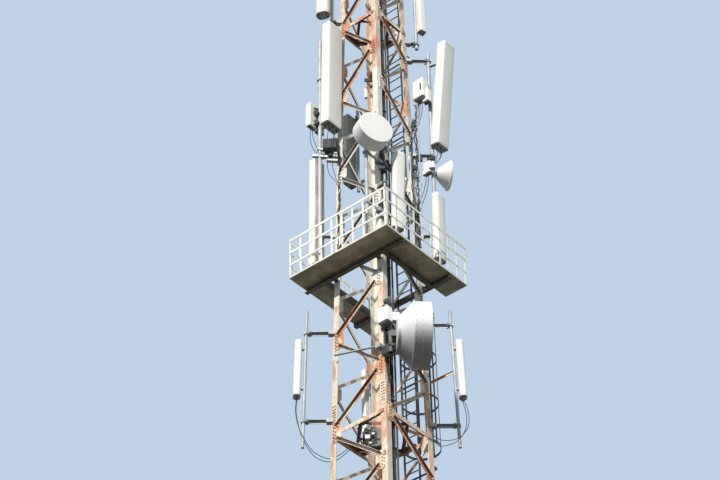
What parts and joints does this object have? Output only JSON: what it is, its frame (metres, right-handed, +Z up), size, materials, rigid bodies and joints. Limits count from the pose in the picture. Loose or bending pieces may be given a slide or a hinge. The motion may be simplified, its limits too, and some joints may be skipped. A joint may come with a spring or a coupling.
{
  "type": "cell tower",
  "caption": "Square lattice cell tower that tapers upward, with a railed platform, caged ladder, cable ladder, panel antennas on pipes and microwave dishes.",
  "frame": {"origin": "on the tower's axis, at the underside of the base frame", "axes": "+Z up along the tower; +X and -Y are the outward normals of the two faces that the picture shows"},
  "size_m": [2.9368, 2.9069, 14.0017],
  "materials": {
    "cable_black": "black cable jacket",
    "dish_radome": "white membrane",
    "dish_shell": "white powder coat with dust",
    "foot_steel": "weathered galvanised plate",
    "ladder_paint": "weathered paint with rust",
    "mast_paint": "faded and rusted warning paint in red and white bands",
    "panel_radome": "matt white moulded radome",
    "pipe_galvanised": "dull galvanised steel",
    "platform_paint": "weathered cream paint",
    "rack_galvanised": "dull galvanised steel",
    "radio_case": "light grey powder coat",
    "railing_paint": "weathered white paint"
  },
  "bodies": {
    "root": {"base_frame": "foot_steel", "bracing_far_left": "mast_paint", "bracing_far_right": "mast_paint", "bracing_near_left": "mast_paint", "bracing_near_right": "mast_paint", "cable_boom": "pipe_galvanised", "cable_ladder": "rack_galvanised", "deck_far_left": "platform_paint", "deck_near_left": "platform_paint", "deck_near_right": "platform_paint", "diaphragms": "mast_paint", "dish_mount": "pipe_galvanised", "dish_radios": "radio_case", "dish_radome": "dish_radome", "dish_reflector": "dish_shell", "dish_shroud": "dish_shell", "drum_antenna": "dish_shell", "feeder_cables": "cable_black", "junction_box": "radio_case", "ladder": "ladder_paint", "ladder_cage": "ladder_paint", "ladder_ties": "ladder_paint", "leg_back": "mast_paint", "leg_left": "mast_paint", "leg_near": "mast_paint", "leg_right": "mast_paint", "leg_splices": "mast_paint", "panel_far_large": "panel_radome", "panel_far_low": "panel_radome", "panel_left_large": "panel_radome", "panel_left_low": "panel_radome", "panel_left_tall": "panel_radome", "panel_left_top": "panel_radome", "panel_near_deck": "panel_radome", "panel_right_deck": "panel_radome", "panel_right_large": "panel_radome", "panel_right_low": "panel_radome", "panel_right_top": "panel_radome", "platform_cross_beams": "platform_paint", "platform_seats": "platform_paint", "platform_side_beams": "platform_paint", "pole_drum": "pipe_galvanised", "pole_left_low": "pipe_galvanised", "pole_right_low": "pipe_galvanised", "poles_far": "pipe_galvanised", "poles_left": "pipe_galvanised", "poles_near": "pipe_galvanised", "poles_right": "pipe_galvanised", "radio_units": "radio_case", "railing_far_left": "railing_paint", "railing_near_left": "railing_paint", "railing_near_right": "railing_paint", "small_dish": "dish_shell"}
  },
  "joints": []
}
